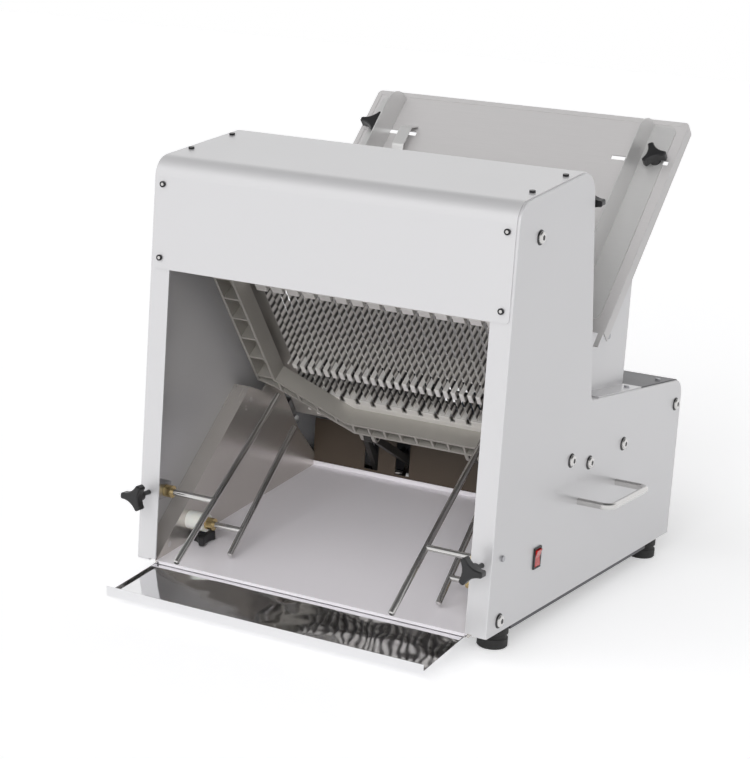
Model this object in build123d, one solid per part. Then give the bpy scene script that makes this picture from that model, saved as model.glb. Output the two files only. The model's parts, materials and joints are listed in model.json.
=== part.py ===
from build123d import *
from math import atan2, cos, degrees, hypot, radians, sin, tan
import os

# A bread slicer for a shop counter. Loaves slide down the infeed tray at the back, pass two counter-moving
# frames of blades and land on the outfeed slide at the front.
# X runs to the right of someone at the outfeed, Y to the back, Z up. Sizes are in millimetres.

# Casing
body_width = 500.0
body_depth = 600.0
feet_height = 30.0
sheet = 2.0
thin_sheet = 1.5
front_height = 547.3
top_slope = 7.7
tall_depth = 210.0
rear_lean = 10.4
low_height = 278.2
low_slope = 4.07
front_bend = 25.0
top_bend = 32.0
waist_bend = 10.0
rear_bend = 25.0
base_bend = 3.0
edge_round = 1.2
pillar_width = 28.0
rim_width = 18.0
seam = 3.5
cover_clear = 8.0
louvre_count = 6
louvre_low = 90.0
louvre_pitch = 18.0
louvre_height = 5.0
louvre_x = 75.0
louvre_width = 90.0

# Fits. A press gap is for pieces that stay put, a running gap for pieces that turn or slide.
press_gap = 0.02
running_gap = 0.05
hole_gap = 0.3
open_gap = 0.5

# Hood
hood_front_bottom = 410.0
hood_rear_bottom = 510.0
hood_corner = 5.0

# Blade frames. Distances along the blades are called high, distances through them deep.
comb_y = 257.7
comb_z = 262.4
lean = 39.0
stroke = 30.0
rail_outer = 226.0
rail_inner = 196.0
frame_front = 37.0
frame_back = 10.0
frame_wall = 3.5
frame_floor = 5.0
rib = 3.0
rail_rib_pitch = 38.0
beam_rib_pitch = 24.0
front_top = 245.0
front_beam = 40.0
shoulder_low = 8.0
shoulder_inset = 22.0
shoulder_end = 16.0
keel = 88.0
keel_half = 98.0
keel_thick = 20.0
crotch_low = 2.0
crotch_half = 105.0
rear_top = 262.0
rear_bottom = 128.0
rear_beam = 25.0
rear_sill = 20.0

# Blades
blade_pitch = 12.0
blade_count = 31
blade_thick = 0.6
blade_width = 12.0
tooth_pitch = 13.0
tooth_depth = 1.6
bar_thick = 3.0
finger_gap = 7.5
blade_slit = 1.5
key_size = 3.0
key_length = 9.0
blade_tail = 7.0
front_low_bar = -52.0
front_high_bar = 190.0
rear_low_bar = -95.0
rear_high_bar = 232.0
bar_half = 188.0
rear_finger = 6.5

# Guide shafts
shaft_x = 236.5
shaft_radius = 5.0
shaft_low = -120.0
shaft_high = 325.0
housing_radius = 9.5
housing_length = 28.0
bush_wall = 2.0
front_ears = (30.0, 190.0)
rear_ears = (-50.0, 110.0)
block_length = 22.0
ear_inner = 220.0
ear_outer = 232.0
ear_gap = 3.0
ear_deep = 6.0

# Comb plate and chute
comb_half = 185.0
comb_level = 8.0
comb_thick = 2.0
comb_front = 14.0
comb_lip = 12.0
comb_slot = 4.0
chute_end = 45.5
chute_bar = 6.0

# Outfeed slide, cheeks and crumb drawer
slide_y = 4.0
slide_z = 31.0
slide_slope = 7.5
slide_length = 399.0
slide_sheet = 1.2
slide_lip = 6.0
cheek_face = 223.0
cheek_front_slope = 43.5
cheek_top_y = 211.0
cheek_skirt = 5.0
cheek_deep_skirt = 9.0
slide_gap = 0.3
foot_clear = 92.0
drawer_half = 222.0
drawer_front = -110.0
drawer_back = 288.0
drawer_drop = 4.85
drawer_wall = 3.2
drawer_lip = 13.0
runner_width = 10.0

# Drive
crank_y = 442.0
crank_z = 82.0
crank_radius = 8.0
pin_radius = 6.0
web_radius = 13.0
web_thick = 6.0
eye_radius = 12.0
eye_thick = 12.0
rod_depth = 10.0
web_gap = 2.0
front_rod_x = 80.0
rear_rod_x = 130.0
front_gudgeon = (-98.0, -28.0)
rear_gudgeon = (-138.0, 22.0)
gudgeon_radius = 5.0
lug_thick = 5.0
lug_radius = 8.0
pulley_x = 200.0
driven_radius = 36.0
motor_pulley_radius = 18.0
pulley_width = 14.0
belt_width = 8.0
belt_thick = 5.0
belt_gap = 0.3
motor_y = 522.0
motor_z = 142.0
motor_radius = 58.0
motor_left = -40.0
motor_right = 165.0
motor_shaft_radius = 7.0
motor_step = 4.0
end_bell = 24.0
motor_foot_half = 45.0
motor_foot_drop = 6.0
terminal_box = (70.0, 60.0, 26.0)
bracket_thick = 4.0
bracket_overhang = 17.0
bearing_size = 40.0
bearing_length = 14.0
guard_low = 84.0
guard_high = 152.0
guard_notch = 11.0
guard_notch_low = 92.0

# Infeed tray, its support and its guides
tray_y = 281.8
tray_z = 326.3
tray_slope = 46.62
tray_half = 240.0
tray_length = 397.0
tray_fold = 18.0
tray_corner = 6.0
tray_bend = 42.5
gusset_face = 222.0
support_back = 440.0
support_foot = 8.0
guide_x = 191.0
guide_height = 42.0
guide_round = 40.0
guide_low = 60.0
guide_high = 386.0
guide_flange = 35.0
guide_knob_x = 215.0
guide_knob_s = 325.0
slot_width = 7.0
slot_inner = 150.0
strip_x = 160.0
strip_knob_x = 105.0
strip_knob_s = 252.0

# Loaf guide rods
guide_rod_radius = 4.0
upper_rod_x = 152.0
upper_rod_y = 22.0
upper_rod_z = 120.0
upper_rod_slope = 38.1
upper_rod_rear = 186.6
upper_rod_front = 103.0
lower_left_x = 142.0
lower_right_x = 160.0
lower_rod_y = 78.0
lower_rod_z = 70.0
lower_rod_slope = 44.8
lower_rod_rear = 167.6
lower_rod_front = 39.0
collar_radius = 8.0
collar_length = 11.0
clamp_y = 34.0
clamp_half = 10.0
clamp_inner = 226.0
nylon_radius = 12.0
nylon_inner = 196.0
nylon_outer = 236.0

# Knobs, feet and fasteners
knob_radius = 18.0
knob_thick = 12.0
knob_neck = 8.0
knob_neck_radius = 7.5
knob_waist = 8.2
knob_hollow = 23.0
stud_radius = 3.0
pillar_knob_x = 237.0
pillar_knob_out = 18.0
cheek_knob_x = 204.0
hood_knob_z = 530.0
foot_radius = 19.0
foot_x = 227.0
front_foot_y = 70.0
rear_foot_y = 562.0
bolt_radius = 4.0
bolt_head_radius = 7.5
bolt_head = 4.5
small_head_radius = 3.8
small_head = 2.5
shaft_bolt_high = 313.0
cheek_bolts = ((33.0, 46.0), (215.0, 209.0), (276.0, 195.0))
tie_bolts = ((390.0, 199.0), (579.0, 222.0))
small_screw = (27.0, 125.0)
tie_radius = 7.0
hood_screw_x = 236.0
hood_screw_z = (424.0, 516.0)
hood_screw_y = (58.0, 152.0)
deck_screw_y = 537.0
foot_screw_y = 420.0
gusset_screw = (371.0, 343.0)

# Switch, handles and inlet
switch_y = 130.5
switch_z = 102.3
bezel_height = 27.0
bezel_width = 20.0
bezel_depth = 15.0
bezel_rim = 2.0
rocker_height = 21.0
rocker_width = 14.0
rocker_gap = 0.5
rocker_swing = 1.3
pivot_radius = 1.5
handle_y = (250.0, 377.0)
handle_z = 149.0
handle_out = 45.0
handle_radius = 4.5
handle_bend = 13.0
nut_radius = 8.0
gland_x = -180.0
gland_z = 70.0
gland_radius = 11.0
gland_length = 9.0
gland_inside = 12.0
gland_thread_radius = 7.95
gland_bore = 4.5

# Base
pan_half = 240.0
pan_front = 92.0
pan_back = 540.0
pan_height = 12.0

half_width = body_width / 2
web_face = half_width - sheet
half_stroke = stroke / 2
sides = (-1, 1)
peak_z = front_height + tall_depth * tan(radians(top_slope))
waist_y = tall_depth + (peak_z - low_height) * tan(radians(rear_lean))
tail_z = low_height - (body_depth - waist_y) * tan(radians(low_slope))

parts = {}


def block(x, y, z):
    # A box given by its two ends along each axis
    size = [high - low for low, high in (x, y, z)]
    centre = [(high + low) / 2 for low, high in (x, y, z)]
    return Pos(*centre) * Box(*size)


def rod(start, end, radius):
    # A round bar between two points
    start, end = Vector(*start), Vector(*end)
    return Plane(origin=start, z_dir=end - start) * Cylinder(
        radius, (end - start).length, align=(Align.CENTER, Align.CENTER, Align.MIN)
    )


def tube(start, end, radius, bore):
    return rod(start, end, radius) - rod(start, end, bore)


def side_slab(section, left, right):
    # A section drawn in Y and Z, swept along X
    return Pos(left, 0, 0) * extrude(Plane.YZ * section, amount=right - left, dir=(1, 0, 0))


def polygon(*points):
    return make_face(Polyline(*points, close=True))


def leaned(shape):
    # From the blades' own axes (X, deep, high) to the machine's
    return Location((0, comb_y, comb_z), (lean, 0, 0)) * shape


def lean_point(high, deep):
    y = comb_y - high * sin(radians(lean)) + deep * cos(radians(lean))
    z = comb_z + high * cos(radians(lean)) + deep * sin(radians(lean))
    return (y, z)


def on_tray(shape):
    # From the tray's own axes (X, up the slope, off the sheet) to the machine's
    return Location((0, tray_y, tray_z), (tray_slope, 0, 0)) * shape


def tray_point(along, off):
    y = tray_y + along * cos(radians(tray_slope)) - off * sin(radians(tray_slope))
    z = tray_z + along * sin(radians(tray_slope)) + off * cos(radians(tray_slope))
    return (y, z)


def on_slide(shape):
    return Location((0, slide_y, slide_z), (slide_slope, 0, 0)) * shape


def slide_point(along, off):
    y = slide_y + along * cos(radians(slide_slope)) - off * sin(radians(slide_slope))
    z = slide_z + along * sin(radians(slide_slope)) + off * cos(radians(slide_slope))
    return (y, z)


def low_top(y):
    # Height of the low rear part of the casing
    return low_height - (y - waist_y) * tan(radians(low_slope))


def mirrored(shape):
    return mirror(shape, about=Plane.YZ)


def both(shape):
    return [mirrored(shape), shape]


def casing_profile(grow=0.0):
    # Side outline of the casing, with its bends
    corners = (
        (0, feet_height),
        (0, front_height),
        (tall_depth, peak_z),
        (waist_y, low_height),
        (body_depth, tail_z),
        (body_depth, feet_height),
    )
    bends = (base_bend, front_bend, top_bend, waist_bend, rear_bend, base_bend)
    face = make_face(FilletPolyline(*corners, radius=bends, close=True))
    return offset(face, grow) if grow else face


profile = casing_profile()
inner_profile = casing_profile(-sheet)
outer_profile = casing_profile(thin_sheet)
skin = outer_profile - profile


def side_panel():
    # Right side panel: web, folded rim all round, wide flange at the front pillar
    panel = side_slab(profile, web_face, half_width)
    panel += side_slab(profile - inner_profile, half_width - rim_width, half_width)
    pillar = block(
        (half_width - pillar_width, half_width - rim_width),
        (0, sheet),
        (feet_height + base_bend, front_height - front_bend),
    )
    panel += pillar
    outline = panel.edges().filter_by_position(Axis.X, half_width - 0.01, half_width + 0.01)
    return fillet(outline, edge_round)


def bolt_holes():
    places = [lean_point(shaft_bolt_high, 0), *cheek_bolts, *tie_bolts]
    reach = (web_face - 1, half_width + 1)
    return [rod((reach[0], y, z), (reach[1], y, z), bolt_radius + running_gap) for y, z in places]


def handle_holes():
    return [
        rod((web_face - 1, y, handle_z), (half_width + 1, y, handle_z), handle_radius + running_gap)
        for y in handle_y
    ]


def pillar_hole():
    return rod(
        (pillar_knob_x, -1, upper_rod_z),
        (pillar_knob_x, sheet + 1, upper_rod_z),
        stud_radius + hole_gap,
    )


def hood_knob_seat(off):
    # Point on the leaning rear edge of the tall part, off the sheet by the given distance
    y = tall_depth + (peak_z - hood_knob_z) * tan(radians(rear_lean))
    return (y + off * cos(radians(rear_lean)), hood_knob_z + off * sin(radians(rear_lean)))


def hood_knob_line(start, end, radius):
    return rod(
        (pillar_knob_x, *hood_knob_seat(start)), (pillar_knob_x, *hood_knob_seat(end)), radius
    )


right_panel = side_panel()
for hole in bolt_holes() + handle_holes():
    right_panel -= hole
right_panel -= pillar_hole()
right_panel -= hood_knob_line(-sheet - 1, 1, stud_radius + hole_gap)
left_panel = mirrored(right_panel)
switch_cut = block(
    (web_face - 1, half_width + 1),
    (switch_y - bezel_width / 2 + bezel_rim, switch_y + bezel_width / 2 - bezel_rim),
    (switch_z - bezel_height / 2 + bezel_rim, switch_z + bezel_height / 2 - bezel_rim),
)
parts["left_side_panel"] = [left_panel]
parts["right_side_panel"] = [right_panel - switch_cut]


def front_hood():
    # One sheet over the front, the sloped top and the top of the leaning rear edge
    middle = tall_depth / 2
    keep = polygon(
        (-hood_corner, hood_front_bottom),
        (middle, hood_front_bottom),
        (middle, hood_rear_bottom),
        (body_depth, hood_rear_bottom),
        (body_depth, peak_z + hood_corner * 2),
        (-hood_corner, peak_z + hood_corner * 2),
    )
    hood_half = half_width - seam
    hood = side_slab(skin & keep, -hood_half, hood_half)
    corners = (
        hood.edges()
        .filter_by(Axis.Y)
        .filter_by_position(Axis.Z, hood_front_bottom - 0.1, hood_front_bottom + 0.1)
    )
    hood = fillet(corners, hood_corner)
    for side in both(hood_knob_line(-1, thin_sheet + 1, stud_radius + hole_gap)):
        hood -= side
    return hood


parts["front_hood"] = [front_hood()]


def rear_cover():
    # Deck behind the tray support, bent down over the back as far as the base, with louvre slots
    deck_start = support_back + support_foot + running_gap
    inside = body_depth - rear_bend
    keep = polygon(
        (deck_start, low_height),
        (deck_start, low_height / 2),
        (inside, low_height / 2),
        (inside, feet_height + cover_clear),
        (body_depth + rear_bend, feet_height + cover_clear),
        (body_depth + rear_bend, low_height),
    )
    cover = side_slab(skin & keep, -half_width + seam, half_width - seam)
    through = (body_depth - 1, body_depth + thin_sheet + 1)
    for row in range(louvre_count):
        z = louvre_low + louvre_pitch * row
        for side in sides:
            left = side * louvre_x - louvre_width / 2
            cover -= block((left, left + louvre_width), through, (z, z + louvre_height))
    return cover - rod(
        (gland_x, through[0], gland_z),
        (gland_x, through[1], gland_z),
        gland_thread_radius + running_gap,
    )


parts["rear_cover"] = [rear_cover()]
gland_inner = (gland_x, body_depth - gland_inside, gland_z)
gland_face = (gland_x, body_depth + thin_sheet, gland_z)
gland_end = (gland_x, body_depth + thin_sheet + gland_length, gland_z)
gland = rod(gland_face, gland_end, gland_radius)
gland += rod(gland_inner, gland_face, gland_thread_radius)
gland -= rod(gland_inner, gland_end, gland_bore)
parts["cable_gland"] = [gland]


def tray_support():
    # Two gussets and a rear wall under the tray, on a folded foot that lies on the low rims, with the
    # cross bar that carries the comb plate
    clear = frame_front + 2.0
    base_y = comb_y + (clear - (low_height - comb_z) * sin(radians(lean))) / cos(radians(lean))
    foot_y = base_y + 2
    crown_z = tray_point((support_back - tray_y) / cos(radians(tray_slope)), 0)[1]
    crown_z -= thin_sheet / cos(radians(tray_slope))
    gusset = polygon(
        (foot_y, low_top(foot_y)),
        (support_back, low_top(support_back)),
        (support_back, crown_z),
        tray_point(tray_bend, -thin_sheet),
        lean_point(comb_level + comb_thick, clear),
    )
    support = side_slab(gusset, gusset_face - thin_sheet, gusset_face)
    foot = polygon(
        (foot_y, low_top(foot_y)),
        (support_back + support_foot, low_top(support_back + support_foot)),
        (support_back + support_foot, low_top(support_back + support_foot) + thin_sheet),
        (foot_y, low_top(foot_y) + thin_sheet),
    )
    support += side_slab(foot, gusset_face - thin_sheet, half_width - seam)
    support += mirrored(support)
    rear_foot = polygon(
        (support_back - thin_sheet, low_top(support_back)),
        (support_back + support_foot, low_top(support_back + support_foot)),
        (support_back + support_foot, low_top(support_back + support_foot) + thin_sheet),
        (support_back - thin_sheet, low_top(support_back) + thin_sheet),
    )
    wall = polygon(
        (support_back - thin_sheet, low_top(support_back)),
        (support_back, low_top(support_back)),
        (support_back, crown_z),
        (support_back - thin_sheet, crown_z - thin_sheet * tan(radians(tray_slope))),
    )
    support += side_slab(rear_foot, -gusset_face, gusset_face)
    support += side_slab(wall, -gusset_face, gusset_face)
    bar = block(
        (-gusset_face, gusset_face),
        (chute_end - chute_bar, chute_end),
        (comb_level - chute_bar, comb_level),
    )
    return support + leaned(bar)


parts["tray_support"] = [tray_support()]


def rubber_foot(x, y):
    foot = Cylinder(foot_radius, feet_height, align=(Align.CENTER, Align.CENTER, Align.MIN))
    groove = Pos(0, 0, feet_height / 2) * Torus(foot_radius + 1, 3)
    foot = chamfer(foot.edges().group_by(Axis.Z)[0], 2)
    return Pos(x, y, 0) * (foot - groove)


parts["rubber_feet"] = [
    rubber_foot(side * foot_x, y) for side in sides for y in (front_foot_y, rear_foot_y)
]


def cheek():
    # Polished inner side plate of the outfeed, with a flange along its front edge towards the panel and
    # a runner for the drawer along its lower edge
    climb = tan(radians(cheek_front_slope))
    nose = slide_point(0, 0)
    top_z = nose[1] + (cheek_top_y - nose[0]) * climb
    below = -(crotch_low + half_stroke + 10)
    rear_low = -(rear_bottom + half_stroke + 4)
    back_y = slide_point(slide_length, 0)[0]
    plate = polygon(
        slide_point(0, -cheek_skirt),
        nose,
        (cheek_top_y, top_z),
        lean_point(below, -frame_front - 3),
        lean_point(below, -2),
        lean_point(rear_low / 2, -2),
        lean_point(rear_low, -3),
        (back_y, guard_low + 16),
        (back_y, slide_point(slide_length, -cheek_deep_skirt)[1]),
        slide_point(foot_clear, -cheek_deep_skirt),
        slide_point(foot_clear, -cheek_skirt),
    )
    shape = side_slab(plate, cheek_face, cheek_face + sheet)
    across = Vector(0, -sin(radians(cheek_front_slope)), cos(radians(cheek_front_slope))) * thin_sheet
    start = (nose[0] + pillar_width / 8, nose[1] + pillar_width / 8 * climb)
    flange = polygon(
        start,
        (cheek_top_y, top_z),
        (cheek_top_y - across.Y, top_z - across.Z),
        (start[0] - across.Y, start[1] - across.Z),
    )
    shape += side_slab(flange, cheek_face, web_face)
    runner_top = -drawer_drop - slide_sheet - slide_gap
    shape += on_slide(
        block(
            (cheek_face - runner_width, cheek_face + sheet),
            (foot_clear + 3, slide_length - 14),
            (runner_top - thin_sheet, runner_top),
        )
    )
    shape -= rod(
        (nylon_inner, lower_rod_y, lower_rod_z),
        (half_width, lower_rod_y, lower_rod_z),
        nylon_radius - 3 + running_gap,
    )
    for y, z in cheek_bolts:
        shape -= rod((cheek_face - 1, y, z), (cheek_face + sheet + 1, y, z), bolt_radius + running_gap)
    return shape


parts["cheek_plates"] = both(cheek())


def outfeed_slide():
    plate = block((-cheek_face, cheek_face), (0, slide_length), (-slide_sheet, 0))
    plate += block(
        (-cheek_face, cheek_face), (slide_length - slide_sheet, slide_length), (-slide_sheet, slide_lip)
    )
    hem = drawer_half - 2 * slide_sheet
    plate += block((-hem, hem), (0, slide_sheet), (-drawer_drop + slide_gap * 2, 0))
    return on_slide(plate)


parts["outfeed_slide"] = [outfeed_slide()]


def crumb_drawer():
    # Shallow polished tray under the slide, parallel to it
    floor = -drawer_drop
    under = floor - slide_sheet
    x = (-drawer_half, drawer_half)
    tray = block(x, (drawer_front, drawer_back), (under, floor + drawer_wall))
    tray -= block(
        (-drawer_half + slide_sheet, drawer_half - slide_sheet),
        (drawer_front + slide_sheet, drawer_back - slide_sheet),
        (floor, floor + drawer_wall + 1),
    )
    tray += block(x, (drawer_front, drawer_front + slide_sheet), (under, under + drawer_lip))
    return on_slide(tray)


parts["crumb_drawer"] = [crumb_drawer()]


def front_frame_face(inset):
    # Outline of the front frame as seen along the blades' depth, shrunk by an inset
    half = (
        (rail_outer - inset, front_top - inset),
        (rail_outer - inset, -shoulder_low + inset * 0.3),
        (rail_outer - shoulder_inset - inset * 0.3, -shoulder_end + inset * 0.7),
        (keel_half - inset * 0.3, -keel + inset),
    )
    left = [(-x, high) for x, high in reversed(half)]
    return polygon(*half, *left)


def front_window(grow):
    half = (
        (rail_inner + grow, front_top - front_beam + grow),
        (rail_inner + grow, -crotch_low - grow * 0.3),
        (crotch_half + grow * 0.3, -keel + keel_thick - grow),
    )
    left = [(-x, high) for x, high in reversed(half)]
    return polygon(*half, *left)


def upright(section, front, back):
    # A section drawn in X and high, given thickness through the blades' depth
    return Pos(0, back, 0) * extrude(Plane.XZ * section, amount=back - front, dir=(0, -1, 0))


def rail_ribs(bottom, top, front, back, outer, inner):
    ribs = []
    high = bottom
    while high < top:
        ribs.append(block((inner, outer), (front, back), (high, high + rib)))
        high += rail_rib_pitch
    return ribs


def ear(side, high, deep_near, deep_far):
    arm = block(
        (ear_inner, ear_outer), (deep_near, deep_far), (-housing_length / 2, housing_length / 2)
    )
    housing = rod(
        (shaft_x, 0, -housing_length / 2), (shaft_x, 0, housing_length / 2), housing_radius
    )
    bore = rod(
        (shaft_x, 0, -housing_length),
        (shaft_x, 0, housing_length),
        shaft_radius + bush_wall + press_gap,
    )
    shape = Pos(0, 0, high) * (arm + housing - bore)
    return shape if side > 0 else mirrored(shape)


def lugs(centre_x, high, deep, root_high):
    # A clevis of two lugs for a gudgeon pin
    shape = None
    for side in sides:
        near = centre_x + side * (eye_thick / 2 + open_gap)
        far = near + side * lug_thick
        x = (min(near, far), max(near, far))
        web = block(x, (deep - lug_radius, deep + lug_radius), (high, root_high))
        web += rod((x[0], deep, high), (x[1], deep, high), lug_radius)
        web -= rod((x[0] - 1, deep, high), (x[1] + 1, deep, high), gudgeon_radius + press_gap)
        shape = web if shape is None else shape + web
    return shape


def front_frame():
    # Cast channel open to the front, with ribs across its pockets
    front, back = -frame_front, -frame_back
    body = upright(front_frame_face(0) - front_window(0), front, back)
    pocket = upright(front_frame_face(frame_wall) - front_window(frame_wall), front, back - frame_floor)
    ribs = []
    for side in sides:
        inner, outer = sorted((side * rail_inner, side * rail_outer))
        ribs += rail_ribs(0, front_top - front_beam, front, back, outer, inner)
    count = int(rail_inner // beam_rib_pitch)
    for index in range(-count, count + 1):
        x = index * beam_rib_pitch
        across = (x - rib / 2, x + rib / 2)
        ribs.append(block(across, (front, back), (-keel, -crotch_low - 2)))
        ribs.append(block(across, (front, back), (front_top - front_beam, front_top)))
    for piece in ribs:
        pocket -= piece
    body -= pocket
    for side in sides:
        for high in front_ears:
            body += ear(side, high, -frame_back - ear_deep, -ear_gap)
        body += lugs(side * front_rod_x, *front_gudgeon, -keel)
    return leaned(body)


def rear_frame():
    front, back = frame_back, frame_front
    outer = polygon(
        (-rail_outer, -rear_bottom),
        (rail_outer, -rear_bottom),
        (rail_outer, rear_top),
        (-rail_outer, rear_top),
    )
    inner = polygon(
        (-rail_inner, rear_sill - rear_bottom),
        (rail_inner, rear_sill - rear_bottom),
        (rail_inner, rear_top - rear_beam),
        (-rail_inner, rear_top - rear_beam),
    )
    body = upright(outer - inner, front, back)
    for side in sides:
        pocket_x = sorted((side * (rail_inner + frame_wall), side * (rail_outer - frame_wall)))
        high = rear_sill - rear_bottom
        while high + rail_rib_pitch < rear_top:
            body -= block(
                pocket_x,
                (front + frame_floor, back + 1),
                (high + rib, high + rail_rib_pitch),
            )
            high += rail_rib_pitch
        for high in rear_ears:
            body += ear(side, high, ear_gap, frame_back + ear_deep)
        body += lugs(side * rear_rod_x, *rear_gudgeon, -rear_bottom)
    return leaned(body)


parts["front_blade_frame"] = [front_frame()]
parts["rear_blade_frame"] = [rear_frame()]


def blade_places(first):
    # X of every second blade, starting with the first or the second one
    start = -blade_pitch * (blade_count - 1) / 2
    return [start + blade_pitch * index for index in range(first, blade_count, 2)]


front_blades_x = blade_places(0)
rear_blades_x = blade_places(1)


def finger_bar(level, places, reach, deep_from, deep_to, leg_side, deep_leg):
    # An angle bar whose fingers hold one blade each; the other frame's blades pass between them
    bar = block((-bar_half, bar_half), (deep_from, deep_to), (level, level + bar_thick))
    low, high = sorted((level + bar_thick / 2, reach))
    leg = block((-bar_half, bar_half), deep_leg, (low, high))
    for x in places:
        bar -= block(
            (x - blade_slit / 2, x + blade_slit / 2),
            (-blade_width / 2 - 0.2, blade_width / 2 + 0.2),
            (level - 1, level + bar_thick + 1),
        )
    edges = [x - blade_pitch for x in places] + [places[-1] + blade_pitch]
    for x in edges:
        reach_in = blade_width / 2 + 1
        gap_deep = (-reach_in, deep_to + 1) if leg_side < 0 else (deep_from - 1, reach_in)
        across = (x - finger_gap / 2, x + finger_gap / 2)
        bar -= block(across, gap_deep, (level - 1, level + bar_thick + 1))
    return leaned(bar + leg)


low_bar = finger_bar(
    front_low_bar,
    front_blades_x,
    -keel + 8,
    -frame_back,
    blade_width,
    -1,
    (-frame_back, -frame_back + bar_thick),
)
high_bar = finger_bar(
    front_high_bar,
    front_blades_x,
    front_top - front_beam + 12,
    -frame_back,
    blade_width,
    -1,
    (-frame_back, -frame_back + bar_thick),
)
parts["front_finger_bars"] = [low_bar, high_bar]
low_bar = finger_bar(
    rear_low_bar,
    rear_blades_x,
    -rear_bottom + 8,
    -rear_finger,
    frame_back,
    1,
    (frame_back - bar_thick, frame_back),
)
high_bar = finger_bar(
    rear_high_bar,
    rear_blades_x,
    rear_top - rear_beam + 12,
    -rear_finger,
    frame_back,
    1,
    (frame_back - bar_thick, frame_back),
)
parts["rear_finger_bars"] = [low_bar, high_bar]


def blade(low, high):
    # A flat strip with a toothed edge towards the loaf
    half = blade_width / 2
    count = int((high - low - 2 * blade_tail) // tooth_pitch)
    edge = [(half, high - blade_tail)]
    for index in range(count):
        top = high - blade_tail - index * tooth_pitch
        edge.append((half - tooth_depth, top - tooth_pitch / 2))
        edge.append((half, top - tooth_pitch))
    outline = [(-half, low), (-half, high), (half, high), *edge, (half, low)]
    return side_slab(polygon(*outline), -blade_thick / 2, blade_thick / 2)


def blade_set(low_level, high_level, places):
    # Blades with a square key riveted through each end, which bears on the fingers
    strip = blade(low_level - blade_tail, high_level + bar_thick + blade_tail)
    for level in (low_level - key_size, high_level + bar_thick):
        strip += block(
            (-key_length / 2, key_length / 2), (-key_size / 2, key_size / 2), (level, level + key_size)
        )
    return [leaned(Pos(x, 0, 0) * strip) for x in places]


parts["front_blades"] = blade_set(front_low_bar, front_high_bar, front_blades_x)
parts["rear_blades"] = blade_set(rear_low_bar, rear_high_bar, rear_blades_x)


def comb_plate():
    # Chute floor, slotted for the blades, with a folded front lip
    level = (comb_level, comb_level + comb_thick)
    plate = block((-comb_half, comb_half), (-comb_front, chute_end), level)
    taper = (crotch_half - rail_inner) / (keel - keel_thick - crotch_low)
    foot_half = comb_half + taper * comb_lip
    lip = polygon(
        (-comb_half, comb_level + comb_thick),
        (comb_half, comb_level + comb_thick),
        (comb_half, comb_level),
        (foot_half, comb_level - comb_lip),
        (-foot_half, comb_level - comb_lip),
        (-comb_half, comb_level),
    )
    plate += upright(lip, -comb_front, -comb_front + comb_thick)
    for x in front_blades_x + rear_blades_x:
        plate -= block(
            (x - comb_slot / 2, x + comb_slot / 2),
            (-blade_width / 2 - 2, blade_width / 2 + 2),
            (comb_level - 1, comb_level + comb_thick + 1),
        )
    return leaned(plate)


parts["comb_plate"] = [comb_plate()]

# Guide shafts with their blocks and the bronze bushes of the frames
shaft = rod((shaft_x, 0, shaft_low), (shaft_x, 0, shaft_high), shaft_radius)
parts["guide_shafts"] = [leaned(piece) for piece in both(shaft)]


def shaft_block(high):
    shape = block(
        (shaft_x - housing_radius, web_face),
        (-housing_radius - 3, housing_radius + 3),
        (high - block_length / 2, high + block_length / 2),
    )
    hole = rod(
        (shaft_x, 0, high - block_length), (shaft_x, 0, high + block_length), shaft_radius + press_gap
    )
    return shape - hole


block_levels = (shaft_low + block_length / 2 - 3, shaft_bolt_high)
shaft_blocks = [leaned(piece) for high in block_levels for piece in both(shaft_block(high))]


def bushes(levels):
    shapes = []
    for high in levels:
        ends = ((shaft_x, 0, high - housing_length / 2), (shaft_x, 0, high + housing_length / 2))
        bush = tube(*ends, shaft_radius + bush_wall, shaft_radius + running_gap)
        shapes += [leaned(piece) for piece in both(bush)]
    return shapes


parts["front_bushes"] = bushes(front_ears)
parts["rear_bushes"] = bushes(rear_ears)

# Crankshaft with its pins cut short of the rods' eyes, rods and gudgeon pins
front_start = lean_point(*front_gudgeon)
rear_start = lean_point(*rear_gudgeon)
throw_angle = atan2(crank_z - front_start[1], crank_y - front_start[0]) + radians(90)
throw = (half_stroke * cos(throw_angle), half_stroke * sin(throw_angle))
front_pin = (crank_y + throw[0], crank_z + throw[1])
rear_pin = (crank_y - throw[0], crank_z - throw[1])


def crank_web(near, far, pin):
    x = sorted((near, far))
    web = rod((x[0], crank_y, crank_z), (x[1], crank_y, crank_z), web_radius)
    web += rod((x[0], *pin), (x[1], *pin), web_radius)
    along = Vector(0, pin[0] - crank_y, pin[1] - crank_z)
    bridge = Box(x[1] - x[0], along.length, web_radius * 2)
    middle = ((x[0] + x[1]) / 2, (crank_y + pin[0]) / 2, (crank_z + pin[1]) / 2)
    web += Location(middle, (degrees(atan2(along.Z, along.Y)), 0, 0)) * bridge
    return web


def throw_pieces(centre_x, pin):
    # The two webs beside one rod's eye, each with its short pin stub
    pieces = []
    for side in sides:
        tip = centre_x + side * (eye_thick / 2 + open_gap)
        near = tip + side * web_gap
        web = crank_web(near, near + side * web_thick, pin)
        web += rod((min(tip, near), *pin), (max(tip, near), *pin), pin_radius)
        pieces.append(web)
    return pieces


def journal(left, right):
    return rod((left, crank_y, crank_z), (right, crank_y, crank_z), crank_radius)


def crankshaft():
    step = eye_thick / 2 + open_gap + web_gap
    inner_near, outer_near = throw_pieces(front_rod_x, front_pin)
    inner_far, outer_far = throw_pieces(rear_rod_x, rear_pin)
    middle = inner_near + mirrored(inner_near) + journal(-front_rod_x + step, front_rod_x - step)
    link = outer_near + inner_far + journal(front_rod_x + step, rear_rod_x - step)
    end = outer_far + journal(rear_rod_x + step, web_face - 1)
    return [middle, *both(link), *both(end)]


parts["crankshaft"] = crankshaft()


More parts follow.
